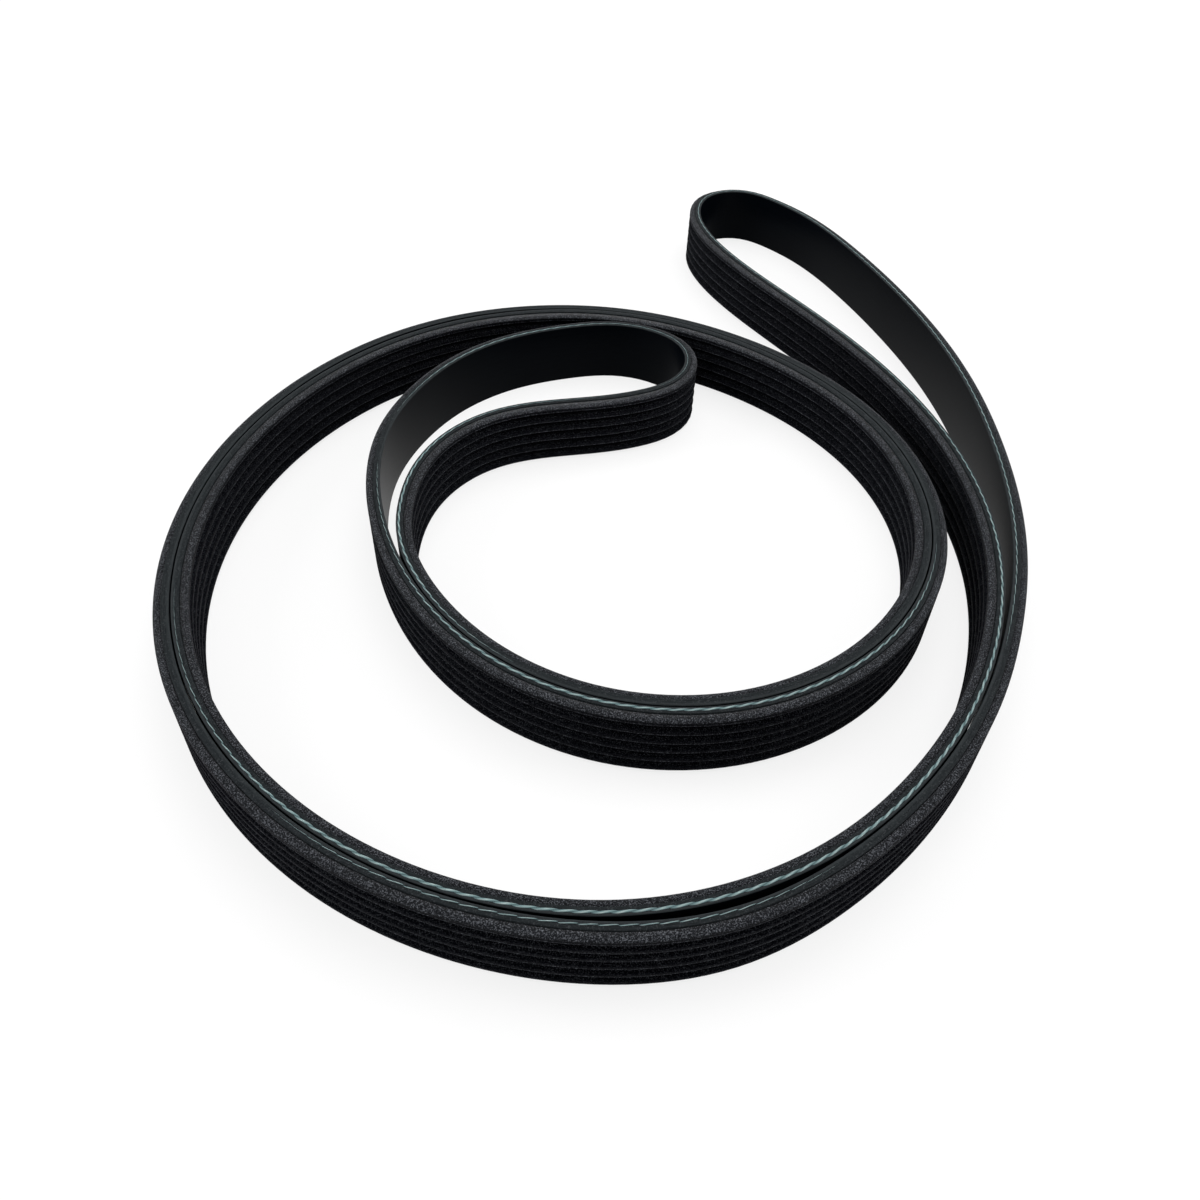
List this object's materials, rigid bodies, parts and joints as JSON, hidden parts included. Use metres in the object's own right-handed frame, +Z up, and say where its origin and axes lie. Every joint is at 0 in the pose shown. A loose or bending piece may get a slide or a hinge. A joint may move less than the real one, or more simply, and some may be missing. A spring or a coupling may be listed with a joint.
{
  "type": "serpentine belt",
  "caption": "Ribbed rubber serpentine belt for engine accessories, doubled back to back and coiled on its edge with an open loop at each end.",
  "frame": {"origin": "on the floor under the middle of the coiled belt's box", "axes": "+Z up, across the belt's width; +Y from the coil towards the end of the long outer loop; +X to the side where the two strands of that loop leave the coil"},
  "size_m": [0.2468, 0.3508, 0.0216],
  "materials": {
    "belt_rubber": "satin smooth back, matt fibre-filled ribs, ground flanks and cut edges a little lighter"
  },
  "bodies": {
    "root": {"ribbed_belt": "belt_rubber"}
  },
  "joints": []
}
